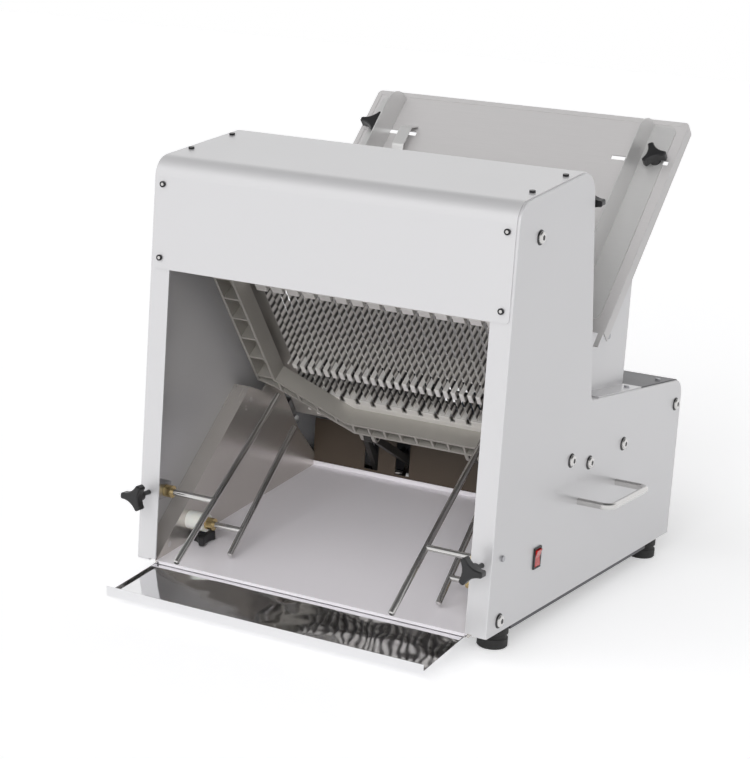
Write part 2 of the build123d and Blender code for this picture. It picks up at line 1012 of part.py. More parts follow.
def connecting_rod(x, start, end):
    ends = (x - eye_thick / 2, x + eye_thick / 2)
    y, z = end[0] - start[0], end[1] - start[1]
    length = hypot(y, z)
    shank = Pos(x, (start[0] + end[0]) / 2, (start[1] + end[1]) / 2)
    shape = shank * Rot(degrees(atan2(z, y)), 0, 0) * Box(eye_thick - 4, length, rod_depth)
    shape += rod((ends[0], *start), (ends[1], *start), eye_radius - 3)
    shape += rod((ends[0], *end), (ends[1], *end), eye_radius)
    shape -= rod((ends[0] - 1, *start), (ends[1] + 1, *start), gudgeon_radius + running_gap)
    shape -= rod((ends[0] - 1, *end), (ends[1] + 1, *end), pin_radius + running_gap)
    return shape


def gudgeon(x, start):
    half = eye_thick / 2 + open_gap + lug_thick
    return rod((x - half, *start), (x + half, *start), gudgeon_radius)


front_rod = connecting_rod(front_rod_x, front_start, front_pin)
rear_rod = connecting_rod(rear_rod_x, rear_start, rear_pin)
parts["front_connecting_rods"] = both(front_rod) + both(gudgeon(front_rod_x, front_start))
parts["rear_connecting_rods"] = both(rear_rod) + both(gudgeon(rear_rod_x, rear_start))

# Bearings, pulleys, belt and motor
bearing = block(
    (web_face - bearing_length, web_face),
    (crank_y - bearing_size / 2, crank_y + bearing_size / 2),
    (crank_z - bearing_size / 2, crank_z + bearing_size / 2),
)
bearing -= rod(
    (web_face - bearing_length - 1, crank_y, crank_z),
    (web_face + 1, crank_y, crank_z),
    crank_radius + running_gap,
)
parts["bearing_blocks"] = shaft_blocks + both(bearing)


def pulley(radius, bore):
    # A wheel with a groove for the belt, around the X axis
    left, right = pulley_x - pulley_width / 2, pulley_x + pulley_width / 2
    wheel = rod((left, 0, 0), (right, 0, 0), radius)
    groove_half = belt_width / 2 + belt_gap
    groove_floor = radius - belt_thick - belt_gap
    wheel -= tube(
        (pulley_x - groove_half, 0, 0), (pulley_x + groove_half, 0, 0), radius + 1, groove_floor
    )
    return wheel - rod((left - 1, 0, 0), (right + 1, 0, 0), bore)


parts["driven_pulley"] = [
    Pos(0, crank_y, crank_z) * pulley(driven_radius, crank_radius + press_gap)
]
motor_shaft = rod(
    (motor_right - motor_step, motor_y, motor_z),
    (pulley_x + pulley_width / 2 + 2, motor_y, motor_z),
    motor_shaft_radius,
)
small_pulley = Pos(0, motor_y, motor_z) * pulley(
    motor_pulley_radius, motor_shaft_radius + press_gap
)
parts["motor_pulley"] = [small_pulley, motor_shaft]


def belt_loop(big, small):
    # Area inside a loop around both pulleys, drawn in Y and Z
    gap_y, gap_z = motor_y - crank_y, motor_z - crank_z
    distance = hypot(gap_y, gap_z)
    heading = atan2(gap_z, gap_y)
    tilt = atan2(big - small, distance)
    half_turn = radians(90)
    corners = []
    for sign in (1, -1):
        angle = heading + sign * (half_turn - tilt)
        corners.append((crank_y + big * cos(angle), crank_z + big * sin(angle)))
        corners.append((motor_y + small * cos(angle), motor_z + small * sin(angle)))
    first, second, fourth, third = corners
    web = polygon(first, second, third, fourth)
    return web + Pos(crank_y, crank_z) * Circle(big) + Pos(motor_y, motor_z) * Circle(small)


loop = belt_loop(driven_radius, motor_pulley_radius) - belt_loop(
    driven_radius - belt_thick, motor_pulley_radius - belt_thick
)
parts["drive_belt"] = [side_slab(loop, pulley_x - belt_width / 2, pulley_x + belt_width / 2)]


def motor_rod(left, right, radius):
    return rod((left, motor_y, motor_z), (right, motor_y, motor_z), radius)


def motor():
    # Ribless shell between two end bells, with a foot below and a terminal box on top
    body = motor_rod(motor_left, motor_right, motor_radius - motor_step)
    for left in (motor_left + 2, motor_right - end_bell - 2):
        body += motor_rod(left, left + end_bell, motor_radius)
    foot = block(
        (motor_left + motor_foot_half, motor_right - motor_foot_half),
        (motor_y - motor_foot_half, motor_y + motor_foot_half),
        (motor_z - motor_radius - motor_foot_drop, motor_z - motor_radius + 2 * motor_foot_drop),
    )
    length, width, height = terminal_box
    middle = (motor_left + motor_right) / 2
    box = block(
        (middle - length / 2, middle + length / 2),
        (motor_y - width / 2, motor_y + width / 2),
        (motor_z + motor_radius - 2 * motor_step, motor_z + motor_radius + height),
    )
    bore = motor_rod(motor_right - motor_step, motor_right + 1, motor_shaft_radius + running_gap)
    return body + foot + box - bore


parts["motor"] = [motor()]

# Base pan between the feet, with the motor's bracket
pan = block((-pan_half, pan_half), (pan_front, pan_back), (feet_height - pan_height, feet_height))
pan -= block(
    (-pan_half + sheet, pan_half - sheet),
    (pan_front + sheet, pan_back - sheet),
    (feet_height - pan_height + sheet, feet_height + 1),
)
mount_top = motor_z - motor_radius - motor_foot_drop
mount_front = motor_y - motor_foot_half
mount_x = (
    motor_left + motor_foot_half - bracket_overhang,
    motor_right - motor_foot_half + bracket_overhang,
)
mount = block(mount_x, (mount_front, pan_back - sheet), (mount_top - bracket_thick, mount_top))
for left in (mount_x[0] + bracket_thick, mount_x[1] - 2 * bracket_thick):
    mount += block(
        (left, left + bracket_thick),
        (mount_front + 3 * bracket_thick, pan_back - sheet - bracket_thick),
        (feet_height - pan_height + sheet, mount_top - bracket_thick / 2),
    )
parts["base_pan"] = [pan + mount]

# Guard between the outfeed and the drive, notched for the rods
guard_y = slide_point(slide_length, 0)[0]
guard = block(
    (-cheek_face - sheet, cheek_face + sheet), (guard_y, guard_y + thin_sheet), (guard_low, guard_high)
)
for x in (front_rod_x, rear_rod_x):
    for side in sides:
        guard -= block(
            (side * x - guard_notch, side * x + guard_notch),
            (guard_y - 1, guard_y + thin_sheet + 1),
            (guard_notch_low, guard_high + 1),
        )
parts["mechanism_guard"] = [guard]


def infeed_tray():
    # Smooth sheet with its side and top edges folded down, and a steeper lip at the bottom
    flat = block((-tray_half, tray_half), (tray_bend, tray_length), (-tray_fold, 0))
    flat = fillet(flat.edges().filter_by(Axis.Z).group_by(Axis.Y)[-1], tray_corner)
    hollow = block(
        (-tray_half + thin_sheet, tray_half - thin_sheet),
        (tray_bend - 1, tray_length - thin_sheet),
        (-tray_fold - 1, -thin_sheet),
    )
    flat -= fillet(hollow.edges().filter_by(Axis.Z).group_by(Axis.Y)[-1], tray_corner - thin_sheet)
    top_cut = tray_half - tray_corner * 2
    flat -= block((-top_cut, top_cut), (tray_length - 4, tray_length + 1), (-tray_fold - 1, -8))
    for side in sides:
        slot_x = sorted((side * slot_inner, side * (tray_half - 4)))
        flat -= block(
            slot_x,
            (guide_knob_s - slot_width / 2, guide_knob_s + slot_width / 2),
            (-thin_sheet - 1, 1),
        )
    top = tray_point(tray_bend + 0.5, 0)
    toe = lean_point(comb_level + comb_thick, chute_end + 1.2)
    run = Vector(0, top[0] - toe[0], top[1] - toe[1]).normalized() * thin_sheet
    lip = polygon(top, toe, (toe[0] + run.Z, toe[1] - run.Y), (top[0] + run.Z, top[1] - run.Y))
    inner = gusset_face - thin_sheet
    return on_tray(flat) + side_slab(lip, -inner, inner)


parts["infeed_tray"] = [infeed_tray()]


def infeed_guide():
    # Angle guide: a flange that lies on the tray and a wall with a large round at its top
    flange = block(
        (guide_x, guide_x + guide_flange), (guide_low, guide_high), (slide_gap, slide_gap + thin_sheet)
    )
    flange = fillet(flange.edges().filter_by(Axis.Z).group_by(Axis.X)[-1], 12)
    flange -= rod(
        (guide_knob_x, guide_knob_s, -1), (guide_knob_x, guide_knob_s, 4), stud_radius + press_gap
    )
    wall = FilletPolyline(
        (guide_low, slide_gap),
        (guide_high, slide_gap),
        (guide_high, guide_height),
        (guide_low, guide_height),
        radius=(0, 0, guide_round, guide_round / 2),
        close=True,
    )
    return flange + side_slab(make_face(wall), guide_x, guide_x + thin_sheet)


def lobed_knob():
    # Three-lobed knob around Z, its neck foot at the origin
    lobe = Circle(knob_radius)
    for index in range(3):
        angle = radians(60 + 120 * index)
        away = knob_waist + knob_hollow
        lobe -= Pos(away * cos(angle), away * sin(angle)) * Circle(knob_hollow)
    lobe = fillet(lobe.vertices(), 2.5)
    head = extrude(lobe, knob_thick)
    head = chamfer(head.edges().group_by(Axis.Z)[-1], 1.5)
    neck = Cylinder(knob_neck_radius, knob_neck, align=(Align.CENTER, Align.CENTER, Align.MIN))
    return Pos(0, 0, knob_neck) * head + neck


def knob_with_stud(stud):
    stem = Cylinder(stud_radius, stud + knob_neck / 2, align=(Align.CENTER, Align.CENTER, Align.MIN))
    return lobed_knob() + Pos(0, 0, -stud) * stem


tray_knob = on_tray(
    Pos(guide_knob_x, guide_knob_s, slide_gap * 2 + thin_sheet) * knob_with_stud(thin_sheet * 2 + 4)
)
parts["right_infeed_guide"] = [on_tray(infeed_guide())]
parts["left_infeed_guide"] = [mirrored(on_tray(infeed_guide()))]
parts["right_guide_knob"] = [tray_knob]
parts["left_guide_knob"] = [mirrored(tray_knob)]


def guide_strip():
    # Bent strip beside the left guide, from the tray slot to its own knob
    path = FilletPolyline(
        (guide_knob_s + 12, slide_gap),
        (guide_knob_s - 2, 15),
        (guide_knob_s - 34, 15),
        (guide_knob_s - 52, slide_gap),
        (strip_knob_s - 10, slide_gap),
        radius=6,
    )
    band = make_face(path + offset_line(path))
    shape = side_slab(band, -strip_x - 9, -strip_x + 9)
    foot = block(
        (-strip_x - 9, -strip_knob_x + 12),
        (strip_knob_s - 10, strip_knob_s + 10),
        (slide_gap, slide_gap + thin_sheet),
    )
    foot = fillet(foot.edges().filter_by(Axis.Z).group_by(Axis.X)[-1], 8)
    foot -= rod(
        (-strip_knob_x, strip_knob_s, -1), (-strip_knob_x, strip_knob_s, 4), stud_radius + press_gap
    )
    return on_tray(shape + foot)


def offset_line(path):
    # The same path one sheet higher, joined to it at both ends
    upper = Pos(0, thin_sheet) * path
    return upper + Line(path @ 0, upper @ 0) + Line(path @ 1, upper @ 1)


parts["guide_strip"] = [guide_strip()]
strip_knob = Pos(-strip_knob_x, strip_knob_s, slide_gap * 2 + thin_sheet) * knob_with_stud(
    slide_gap + thin_sheet
)
parts["strip_knob"] = [on_tray(strip_knob)]


def tee_rod(x, y, z, slope, front, rear, outer):
    # A long sloping rod with a cross rod that runs out to the side
    step = Vector(0, cos(radians(slope)), sin(radians(slope)))
    low = Vector(x, y, z) - step * front
    shape = Plane(origin=low, x_dir=(1, 0, 0), z_dir=step) * Cylinder(
        guide_rod_radius, front + rear, align=(Align.CENTER, Align.CENTER, Align.MIN)
    )
    shape = chamfer(shape.edges().filter_by(GeomType.CIRCLE), guide_rod_radius / 3)
    return shape + rod((x + guide_rod_radius / 8, y, z), (outer, y, z), guide_rod_radius)


def upper_rod():
    return tee_rod(
        upper_rod_x,
        upper_rod_y,
        upper_rod_z,
        upper_rod_slope,
        upper_rod_front,
        upper_rod_rear,
        web_face - 8,
    )


def lower_rod(x):
    return tee_rod(
        x,
        lower_rod_y,
        lower_rod_z,
        lower_rod_slope,
        lower_rod_front,
        lower_rod_rear,
        web_face - 4,
    )


def collar(side, outer, y, z):
    ends = sorted((side * outer, side * (outer - collar_length)))
    ring = tube((ends[0], y, z), (ends[1], y, z), collar_radius, guide_rod_radius + running_gap)
    return ring


upper_collar = clamp_inner - slide_gap
lower_collar = nylon_inner - slide_gap
parts["upper_left_rod"] = [mirrored(upper_rod())]
parts["upper_right_rod"] = [upper_rod()]
parts["lower_left_rod"] = [mirrored(lower_rod(lower_left_x))]
parts["lower_right_rod"] = [lower_rod(lower_right_x)]
for side, name in ((-1, "left"), (1, "right")):
    parts["upper_" + name + "_collar"] = [collar(side, upper_collar, upper_rod_y, upper_rod_z)]
    parts["lower_" + name + "_collar"] = [collar(side, lower_collar, lower_rod_y, lower_rod_z)]


def clamp_block():
    shape = block(
        (clamp_inner, web_face),
        (sheet, clamp_y),
        (upper_rod_z - clamp_half, upper_rod_z + clamp_half),
    )
    shape -= rod(
        (clamp_inner - 1, upper_rod_y, upper_rod_z),
        (web_face + 1, upper_rod_y, upper_rod_z),
        guide_rod_radius + running_gap,
    )
    return shape - rod(
        (pillar_knob_x, 0, upper_rod_z),
        (pillar_knob_x, upper_rod_y, upper_rod_z),
        stud_radius + running_gap,
    )


parts["clamp_blocks"] = both(clamp_block())
pillar_stud = pillar_knob_out + upper_rod_y - guide_rod_radius - open_gap
pillar_knob = Location(
    (pillar_knob_x, -pillar_knob_out, upper_rod_z), (90, 0, 0)
) * knob_with_stud(pillar_stud)
parts["right_pillar_knob"] = [pillar_knob]
parts["left_pillar_knob"] = [mirrored(pillar_knob)]

# Nylon bushes in the cheeks, with a knob under each
cheek_knob_lift = 1.0


def slide_drop():
    # Height of the lower rods' cross line above the slide, square to it
    y, z = lower_rod_y - slide_y, lower_rod_z - slide_z
    return z * cos(radians(slide_slope)) - y * sin(radians(slide_slope))


def slide_along():
    y, z = lower_rod_y - slide_y, lower_rod_z - slide_z
    return y * cos(radians(slide_slope)) + z * sin(radians(slide_slope))


def cheek_knob():
    # The knob hangs under the bush, its lobes just above the slide
    head = Pos(0, 0, -knob_neck) * lobed_knob()
    head = Rot(180, 0, 0) * head
    top = cheek_knob_lift + knob_thick
    stem_top = slide_drop() - guide_rod_radius - open_gap
    stem = Cylinder(stud_radius, stem_top - top + 2, align=(Align.CENTER, Align.CENTER, Align.MIN))
    neck = Cylinder(knob_neck_radius, 2, align=(Align.CENTER, Align.CENTER, Align.MIN))
    lobes = Pos(0, 0, top) * (head & Pos(0, 0, -knob_thick / 2) * Box(60, 60, knob_thick))
    shape = lobes + Pos(0, 0, top) * neck + Pos(0, 0, top - 2) * stem
    return on_slide(Pos(cheek_knob_x, slide_along(), 0) * shape)


def nylon_bush():
    body = rod(
        (nylon_inner, lower_rod_y, lower_rod_z),
        (cheek_face, lower_rod_y, lower_rod_z),
        nylon_radius,
    )
    body += rod(
        (cheek_face, lower_rod_y, lower_rod_z), (nylon_outer, lower_rod_y, lower_rod_z), nylon_radius - 3
    )
    body -= rod(
        (nylon_inner - 1, lower_rod_y, lower_rod_z),
        (nylon_outer + 1, lower_rod_y, lower_rod_z),
        guide_rod_radius + running_gap,
    )
    bore = Cylinder(
        stud_radius + running_gap, slide_drop(), align=(Align.CENTER, Align.CENTER, Align.MIN)
    )
    return body - on_slide(Pos(cheek_knob_x, slide_along(), 0) * bore)


parts["nylon_bushes"] = both(nylon_bush())
parts["right_cheek_knob"] = [cheek_knob()]
parts["left_cheek_knob"] = [mirrored(cheek_knob())]

# Knobs on the leaning rear edge, which hold the hood
hood_knob = Location(
    (pillar_knob_x, *hood_knob_seat(thin_sheet + slide_gap)), (rear_lean - 90, 0, 0)
) * knob_with_stud(thin_sheet + slide_gap + sheet + 4)
parts["right_hood_knob"] = [hood_knob]
parts["left_hood_knob"] = [mirrored(hood_knob)]


def domed_bolt(y, z, reach):
    # Chrome bolt from the outside of a panel to the given depth
    head = rod((half_width, y, z), (half_width + bolt_head, y, z), bolt_head_radius)
    head = fillet(head.edges().group_by(Axis.X)[-1], 2.5)
    return head + rod((reach, y, z), (half_width, y, z), bolt_radius)


tie_inner = web_face - 12
bolts = [domed_bolt(*lean_point(shaft_bolt_high, 0), web_face)]
bolts += [domed_bolt(y, z, cheek_face) for y, z in cheek_bolts]
bolts += [domed_bolt(y, z, tie_inner) for y, z in tie_bolts]
parts["side_bolts"] = [piece for bolt in bolts for piece in both(bolt)]
spacers = [
    tube((cheek_face + sheet, y, z), (web_face, y, z), tie_radius, bolt_radius + running_gap)
    for y, z in cheek_bolts
]
ties = [piece for spacer in spacers for piece in both(spacer)]
for y, z in tie_bolts:
    bar = rod((-web_face, y, z), (web_face, y, z), tie_radius)
    for piece in both(rod((tie_inner, y, z), (web_face + 1, y, z), bolt_radius + running_gap)):
        bar -= piece
    ties.append(bar)
parts["tie_rods_and_spacers"] = ties


def small_bolt(point, axis):
    # A low round head sitting on a face
    start = Vector(*point)
    end = start + Vector(*axis) * small_head
    return rod((start.X, start.Y, start.Z), (end.X, end.Y, end.Z), small_head_radius)


slope_up = (0, -sin(radians(top_slope)), cos(radians(top_slope)))
hood_screws = []
for side in sides:
    for z in hood_screw_z:
        hood_screws.append(small_bolt((side * hood_screw_x, -thin_sheet, z), (0, -1, 0)))
    for y in hood_screw_y:
        z = front_height + y * tan(radians(top_slope)) + thin_sheet / cos(radians(top_slope))
        hood_screws.append(small_bolt((side * hood_screw_x, y, z), slope_up))
parts["hood_screws"] = hood_screws
deck_up = (0, sin(radians(low_slope)), cos(radians(low_slope)))
cover_screws = []
for side in sides:
    cover_screws.append(small_bolt((side * half_width, *small_screw), (side, 0, 0)))
    cover_screws.append(small_bolt((side * gusset_face, *gusset_screw), (side, 0, 0)))
    for y in (foot_screw_y, deck_screw_y):
        z = low_top(y) + thin_sheet / cos(radians(low_slope))
        cover_screws.append(small_bolt((side * hood_screw_x, y, z), deck_up))
parts["cover_screws"] = cover_screws

# Rocker switch
bezel_step = bezel_rim + 0.1
pivot_reach = bezel_width / 2 - bezel_step
bezel = block(
    (half_width, half_width + bezel_rim),
    (switch_y - bezel_width / 2, switch_y + bezel_width / 2),
    (switch_z - bezel_height / 2, switch_z + bezel_height / 2),
)
bezel += block(
    (half_width - bezel_depth, half_width),
    (switch_y - pivot_reach, switch_y + pivot_reach),
    (switch_z - bezel_height / 2 + bezel_step, switch_z + bezel_height / 2 - bezel_step),
)
bezel -= block(
    (half_width - 9, half_width + bezel_rim + 1),
    (switch_y - rocker_width / 2 - rocker_gap, switch_y + rocker_width / 2 + rocker_gap),
    (switch_z - rocker_height / 2 - rocker_swing, switch_z + rocker_height / 2 + rocker_swing),
)
rocker_axis_x = half_width - 3
rocker_out = 4.5
rocker_face = polygon(
    (rocker_axis_x - 3, switch_z - 3),
    (half_width + 0.5, switch_z - rocker_height / 2),
    (half_width + rocker_out - 2, switch_z - rocker_height / 2),
    (half_width + rocker_out - 3, switch_z),
    (half_width + rocker_out, switch_z + rocker_height / 2),
    (half_width + 0.5, switch_z + rocker_height / 2),
    (rocker_axis_x - 3, switch_z + 3),
)
rocker = Pos(0, switch_y + rocker_width / 2, 0) * extrude(
    Plane.XZ * rocker_face, amount=rocker_width, dir=(0, -1, 0)
)
pivot = rod(
    (rocker_axis_x, switch_y - pivot_reach, switch_z),
    (rocker_axis_x, switch_y + pivot_reach, switch_z),
    pivot_radius,
)
bezel -= rod(
    (rocker_axis_x, switch_y - pivot_reach - 1, switch_z),
    (rocker_axis_x, switch_y + pivot_reach + 1, switch_z),
    pivot_radius + running_gap,
)
parts["switch_bezel"] = [bezel]
parts["switch_rocker"] = [rocker + pivot]


def lift_handle():
    # Bent bar through the panel, held by a nut on each leg
    inner = web_face - 4
    out = half_width + handle_out
    path = FilletPolyline(
        (inner, handle_y[0], handle_z),
        (out, handle_y[0], handle_z),
        (out, handle_y[1], handle_z),
        (inner, handle_y[1], handle_z),
        radius=handle_bend,
    )
    bar = sweep(Plane(origin=path @ 0, z_dir=path % 0) * Circle(handle_radius), path=path)
    nuts = []
    for y in handle_y:
        hexagon = extrude(
            Plane(origin=(inner, y, handle_z), z_dir=(1, 0, 0)) * RegularPolygon(nut_radius, 6),
            web_face - inner,
        )
        nuts.append(
            hexagon
            - rod((inner - 1, y, handle_z), (web_face + 1, y, handle_z), handle_radius + press_gap)
        )
    return bar, nuts


handle, handle_nuts = lift_handle()
parts["lift_handles"] = both(handle) + [piece for nut in handle_nuts for piece in both(nut)]

solids = [shape for shapes in parts.values() for shape in shapes]
boxes = [shape.bounding_box() for shape in solids]
front = min(box.min.Y for box in boxes)
rear = max(box.max.Y for box in boxes)
bottom = min(box.min.Z for box in boxes)
to_origin = Pos(0, -(front + rear) / 2, -bottom)

os.makedirs("parts", exist_ok=True)
for name, shapes in parts.items():
    placed = [to_origin * shape for shape in shapes]
    export_step(placed[0] if len(placed) == 1 else Compound(children=placed), "parts/" + name + ".step")

print("nodes", len(parts))
print("shift in y", round(-(front + rear) / 2, 3), "and z", round(-bottom, 3))
print("front gudgeon", front_start, "rear gudgeon", rear_start)
print("crank throw", throw, "hood knob", hood_knob_seat(0), "cheek knob", slide_point(slide_along(), 0))
print("guide knob", tray_point(guide_knob_s, 0), "strip knob", tray_point(strip_knob_s, 0))
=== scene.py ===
import json
from math import cos, pi, radians, sin

import bmesh
import bpy
from mathutils import Matrix, Vector

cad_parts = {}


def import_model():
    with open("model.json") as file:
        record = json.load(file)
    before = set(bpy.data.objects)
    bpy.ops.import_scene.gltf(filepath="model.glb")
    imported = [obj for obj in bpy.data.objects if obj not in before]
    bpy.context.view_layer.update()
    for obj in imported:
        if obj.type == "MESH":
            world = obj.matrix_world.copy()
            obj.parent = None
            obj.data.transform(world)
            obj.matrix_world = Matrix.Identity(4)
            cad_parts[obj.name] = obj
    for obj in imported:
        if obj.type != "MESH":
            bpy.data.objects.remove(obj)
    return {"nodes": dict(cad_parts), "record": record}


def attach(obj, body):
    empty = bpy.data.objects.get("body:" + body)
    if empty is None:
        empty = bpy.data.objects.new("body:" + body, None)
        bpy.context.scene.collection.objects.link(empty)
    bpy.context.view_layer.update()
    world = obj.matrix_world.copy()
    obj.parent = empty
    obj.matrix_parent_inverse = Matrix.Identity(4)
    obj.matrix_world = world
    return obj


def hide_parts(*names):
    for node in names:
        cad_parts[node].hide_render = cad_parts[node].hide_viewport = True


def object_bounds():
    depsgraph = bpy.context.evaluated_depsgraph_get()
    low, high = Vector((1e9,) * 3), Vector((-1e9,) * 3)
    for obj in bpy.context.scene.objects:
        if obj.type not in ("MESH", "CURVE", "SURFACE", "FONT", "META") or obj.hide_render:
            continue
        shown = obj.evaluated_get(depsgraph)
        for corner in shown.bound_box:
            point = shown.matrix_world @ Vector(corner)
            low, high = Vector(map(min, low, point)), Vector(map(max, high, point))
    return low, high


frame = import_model()
nodes = frame["nodes"]
record = frame["record"]
cadLow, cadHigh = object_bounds()
print("frame loaded:", len(nodes), "nodes")

# sizes in millimetres, from the machine's own front, middle and floor
mm = 0.001
middle = 252.267  # from the front to the middle of the frame
blades = {"count": 31, "pitch": 12.0, "lean": radians(39)}
blades["first"] = -blades["pitch"] * (blades["count"] - 1) / 2
slopes = {
    "blades": {"angle": blades["lean"], "y": 257.7, "z": 262.4},
    "tray": {"angle": radians(46.62), "y": 281.8, "z": 326.3},
    "level": {"angle": 0.0, "y": 0.0, "z": 0.0},
}


# a number that a material works out, so that its sums read as sums
class Number:
    def __init__(self, finish, socket):
        self.socket = socket
        self.sum = finish.sum

    def __add__(self, other):
        return self.sum("ADD", self, other)

    def __radd__(self, other):
        return self.sum("ADD", other, self)

    def __sub__(self, other):
        return self.sum("SUBTRACT", self, other)

    def __rsub__(self, other):
        return self.sum("SUBTRACT", other, self)

    def __mul__(self, other):
        return self.sum("MULTIPLY", self, other)

    def __truediv__(self, other):
        return self.sum("DIVIDE", self, other)

    def clamped(self, low, high):
        return self.sum("MINIMUM", self.sum("MAXIMUM", self, low), high)


# a material on the shader that everything here uses
class Finish:
    def __init__(self, name, colour, metallic=0.0, roughness=0.5, **fixed):
        self.material = bpy.data.materials.new(name)
        self.material.use_nodes = True
        self.tree = self.material.node_tree
        self.shader = self.tree.nodes["Principled BSDF"]
        self.colour = (*colour, 1)
        self.put("Base Color", self.colour)
        self.put("Metallic", metallic)
        self.put("Roughness", roughness)
        for socket, value in fixed.items():
            self.put(socket.replace("_", " "), value)

    def feed(self, socket, value):
        if isinstance(value, Number):
            self.tree.links.new(value.socket, socket)
        else:
            socket.default_value = value

    def put(self, name, value):
        self.feed(self.shader.inputs[name], value)

    def node(self, kind, settings=None, sockets=None, output=0):
        made = self.tree.nodes.new(kind)
        for name, value in (settings or {}).items():
            setattr(made, name, value)
        for name, value in (sockets or {}).items():
            self.feed(made.inputs[name], value)
        return Number(self, made.outputs[output])

    def sum(self, operation, *values):
        return self.node("ShaderNodeMath", {"operation": operation}, dict(enumerate(values)))

    def place(self, stretch=(1, 1, 1), turn=(0, 0, 0)):
        spot = self.node("ShaderNodeTexCoord", output="Object")
        return self.node("ShaderNodeMapping", None, {"Vector": spot, "Scale": stretch, "Rotation": turn})

    def along(self, axis, spot):
        return self.node("ShaderNodeSeparateXYZ", None, {"Vector": spot}, axis)

    # soft random pattern, size in repeats a metre
    def noise(self, size, detail, stretch=(1, 1, 1)):
        sockets = {"Vector": self.place(stretch), "Scale": size, "Detail": detail}
        return self.node("ShaderNodeTexNoise", None, sockets)

    # for colours, this node's share and its two sides are sockets 0, 6 and 7, and its result is 2
    def mix(self, share, first, second):
        return self.node("ShaderNodeMix", {"data_type": "RGBA"}, {0: share, 6: first, 7: second}, 2)

    def bump(self, height, distance, strength):
        sockets = {"Height": height, "Distance": distance, "Strength": strength}
        return self.node("ShaderNodeBump", None, sockets)

    def tint(self, share, tone):
        self.put("Base Color", self.mix(share, self.colour, (*tone, 1)))

    # whether the camera, a reflection or a see-through surface asks
    def askedBy(self):
        rays = self.tree.nodes.new("ShaderNodeLightPath")
        names = ("Is Camera Ray", "Is Glossy Ray", "Is Transmission Ray")
        return [Number(self, rays.outputs[name]) for name in names]


# pale silver paint with a fine peel and a faint cloud
def casingPaint():
    look = {"colour": (0.69, 0.685, 0.695), "shade": (0.60, 0.605, 0.625), "peel": 420, "cloud": 3.2}
    paint = Finish("casingPaint", look["colour"], 0.4, 0.34, Coat_Weight=0.2, Coat_Roughness=0.12)
    cloud = paint.noise(look["cloud"], 3)
    paint.tint(cloud * 0.16, look["shade"])
    paint.put("Roughness", 0.30 + cloud * 0.10)
    paint.put("Normal", paint.bump(paint.noise(look["peel"], 2), 0.00012, 0.5))
    return paint


def darkPaint():
    paint = Finish("darkPaint", (0.085, 0.085, 0.095), roughness=0.42)
    cloud = paint.noise(6, 4)
    paint.tint(cloud * 0.4, (0.13, 0.13, 0.14))
    paint.put("Roughness", 0.35 + cloud * 0.2)
    paint.put("Normal", paint.bump(paint.noise(500, 2), 0.00012, 0.6))
    return paint


# sheet with the fine lines of its rolling, which run along one axis
def rolledSheet(name, colour, roughness, stretch, metallic=1.0):
    steel = Finish(name, colour, metallic=metallic, roughness=roughness)
    lines = steel.noise(1.0, 3, stretch)
    smear = steel.noise(5.0, 3)
    steel.tint(lines * 0.22 + smear * 0.10, [tone * 0.72 for tone in colour])
    steel.put("Roughness", roughness * 0.75 + lines * roughness * 0.35 + smear * roughness * 0.3)
    steel.put("Normal", steel.bump(lines, 0.00003, 0.7))
    return steel


def polishedSheet():
    return rolledSheet("polishedSheet", (0.78, 0.775, 0.77), 0.30, (30, 1500, 1500), metallic=0.5)


def traySheet():
    return rolledSheet("traySheet", (0.66, 0.645, 0.645), 0.42, (20, 900, 900), metallic=0.3)


# warm mirror-like sheet of the cheeks, with streaks down its slope
def cheekSheet():
    return rolledSheet("cheekSheet", (0.70, 0.665, 0.63), 0.24, (900, 40, 40), metallic=0.75)


# pale steel raised near white: its lightness is painted light, standing in for the front flash on the
# fingers and the comb's prongs
def fingerSteel():
    return rolledSheet("fingerSteel", (0.93, 0.91, 0.88), 0.34, (40, 900, 900), metallic=0.45)


def plainSteel():
    return rolledSheet("plainSteel", (0.48, 0.48, 0.50), 0.38, (300, 300, 300))


# dark brown painted shade: the guard's colour stands in for the shadowed space under the V beam and its
# reflection, with lighter brown patches at random
def guardPaintedShade():
    paint = Finish("guardPaintedShade", (0.060, 0.044, 0.032), roughness=0.5)
    cloud = paint.noise(9, 3)
    paint.tint(cloud * 0.5, (0.10, 0.078, 0.058))
    paint.put("Roughness", 0.4 + cloud * 0.2)
    return paint


def darkSteel():
    steel = Finish("darkSteel", (0.05, 0.048, 0.046), metallic=0.6, roughness=0.5)
    cloud = steel.noise(60, 3)
    steel.tint(cloud * 0.5, (0.085, 0.08, 0.075))
    steel.put("Roughness", 0.42 + cloud * 0.2)
    return steel


# brushed down its slope; its pale lavender colour, paler than the other sheets, is a painted reflection of
# the white studio in the polished steel
def slideSheet():
    steel = Finish("slideSheet", (0.93, 0.90, 0.94), metallic=0.1, roughness=0.36)
    cloud = steel.noise(4, 3)
    steel.tint(cloud * 0.2, (0.86, 0.83, 0.87))
    steel.put("Roughness", 0.26 + cloud * 0.1)
    steel.put("Normal", steel.bump(steel.noise(1.0, 2, (900, 40, 900)), 0.00002, 0.5))
    return steel


# thin mirror sheet, which isn't quite flat
def mirrorSheet():
    steel = Finish("mirrorSheet", (0.80, 0.80, 0.81), metallic=1.0, roughness=0.05)
    steel.put("Roughness", 0.035 + steel.noise(14, 3) * 0.05)
    steel.put("Normal", steel.bump(steel.noise(9, 2), 0.0035, 0.8))
    return steel


def castMetal():
    metal = Finish("castMetal", (0.46, 0.44, 0.405), metallic=0.45, roughness=0.44)
    cloud = metal.noise(18, 4)
    metal.tint(cloud * 0.35, (0.36, 0.345, 0.32))
    shine = {"from": -0.17, "rise": 40, "most": 0.3}  # only the left rails shine
    across = metal.along("X", metal.place())
    metal.put("Coat Weight", ((shine["from"] - across) * shine["rise"]).clamped(0, shine["most"]))
    metal.put("Roughness", 0.36 + cloud * 0.22)
    metal.put("Normal", metal.bump(metal.noise(650, 2), 0.0002, 0.7))
    return metal
